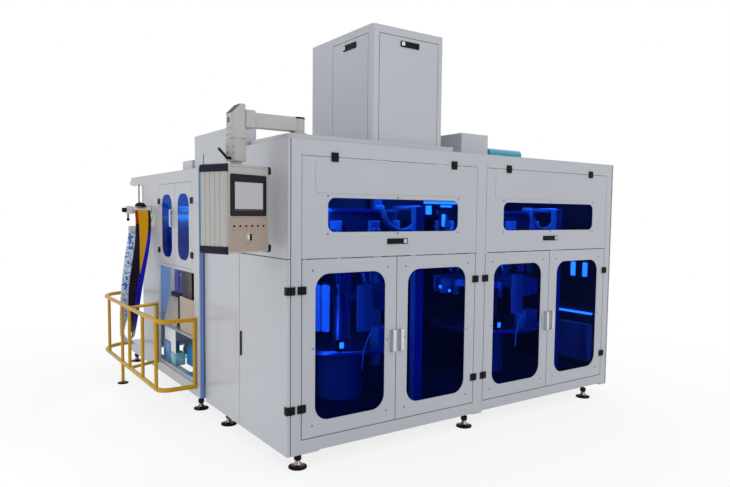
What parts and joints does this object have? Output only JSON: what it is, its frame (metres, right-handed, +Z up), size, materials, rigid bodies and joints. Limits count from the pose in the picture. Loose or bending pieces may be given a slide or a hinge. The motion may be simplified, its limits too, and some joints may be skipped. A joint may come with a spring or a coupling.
{
  "type": "zipper pouch packing machine",
  "caption": "Pouch packing machine: window-door cabinet with filler tower, operator panel on a swing arm and a bag station behind a guard rail.",
  "frame": {"origin": "centre of the front left levelling foot, on the floor", "axes": "+X along the front from the left side, +Y from the front to the back, +Z up"},
  "size_m": [3.8967, 3.7806, 3],
  "materials": {
    "panel_paint": "satin",
    "white_plastic": "satin",
    "inner_steel": "brushed",
    "printed_film": "gloss",
    "amber_lens": "gloss",
    "body_paint": "satin",
    "black_fittings": "satin",
    "blue_paint": "gloss",
    "blue_window": "gloss",
    "rail_yellow": "gloss",
    "foot_steel": "satin",
    "screen_bezel": "gloss",
    "teal_paint": "gloss"
  },
  "bodies": {
    "root": {"arm_base": "panel_paint", "bag_chute": "white_plastic", "bag_magazine": "inner_steel", "bag_stack": "printed_film", "beacon": "amber_lens", "cabinet_base": "body_paint", "cabinet_head": "body_paint", "cabinet_posts": "body_paint", "carousels": "inner_steel", "drive_box": "blue_paint", "film_rollers": "inner_steel", "film_web": "printed_film", "flap_windows": "blue_window", "flaps": "body_paint", "guard_rail_bottom": "rail_yellow", "guard_rail_top": "rail_yellow", "guard_rail_uprights": "rail_yellow", "hinges": "black_fittings", "latches": "black_fittings", "left_panels": "body_paint", "levelling_feet": "foot_steel", "machine_bed": "inner_steel", "rear_panels": "body_paint", "right_panels": "body_paint", "roof": "body_paint", "roof_box": "body_paint", "roof_plinth": "body_paint", "silencer": "teal_paint", "station_base": "body_paint", "station_collar": "black_fittings", "station_doors": "body_paint", "station_face": "body_paint", "station_posts": "body_paint", "station_roof": "body_paint", "station_side_panels": "body_paint", "station_windows": "blue_window", "tower_covers": "body_paint", "tower_housing": "body_paint", "work_table": "inner_steel"},
    "door_1": {"front_door_1": "body_paint", "front_door_1_window": "blue_window", "front_door_1_fittings": "black_fittings"},
    "door_2": {"front_door_2": "body_paint", "front_door_2_window": "blue_window", "front_door_2_fittings": "black_fittings"},
    "door_3": {"front_door_3": "body_paint", "front_door_3_window": "blue_window", "front_door_3_fittings": "black_fittings"},
    "door_4": {"front_door_4": "body_paint", "front_door_4_window": "blue_window", "front_door_4_fittings": "black_fittings"},
    "side_door": {"side_door": "body_paint", "side_door_fittings": "black_fittings"},
    "swing_arm": {"swing_arm": "panel_paint"},
    "operator_panel": {"panel_column": "panel_paint", "panel_case": "panel_paint", "panel_corner_caps": "black_fittings", "panel_screen": "screen_bezel", "panel_controls": "black_fittings", "clamp_lever": "black_fittings"}
  },
  "joints": [
    {"name": "door_1_hinge", "type": "hinge", "parent": "root", "child": "door_1", "pos_m": [-0.001, -0.058, 0.8], "axis": [0, 0, -1], "range_deg": [0, 105]},
    {"name": "door_2_hinge", "type": "hinge", "parent": "root", "child": "door_2", "pos_m": [1.533, -0.058, 0.8], "axis": [0, 0, 1], "range_deg": [0, 90]},
    {"name": "door_3_hinge", "type": "hinge", "parent": "root", "child": "door_3", "pos_m": [1.639, -0.058, 0.8], "axis": [0, 0, -1], "range_deg": [0, 90]},
    {"name": "door_4_hinge", "type": "hinge", "parent": "root", "child": "door_4", "pos_m": [3.173, -0.058, 0.8], "axis": [0, 0, 1], "range_deg": [0, 105]},
    {"name": "side_door_hinge", "type": "hinge", "parent": "root", "child": "side_door", "pos_m": [-0.081, -0.058, 0.8], "axis": [0, 0, 1], "range_deg": [0, 105]},
    {"name": "arm_swing", "type": "hinge", "parent": "root", "child": "swing_arm", "pos_m": [0.026, 0.065, 2.2], "axis": [0, 0, 1], "range_deg": [-10, 95]},
    {"name": "panel_swivel", "type": "hinge", "parent": "swing_arm", "child": "operator_panel", "pos_m": [-0.399, 0.065, 2.2], "axis": [0, 0, 1], "range_deg": [-45, 60]}
  ]
}
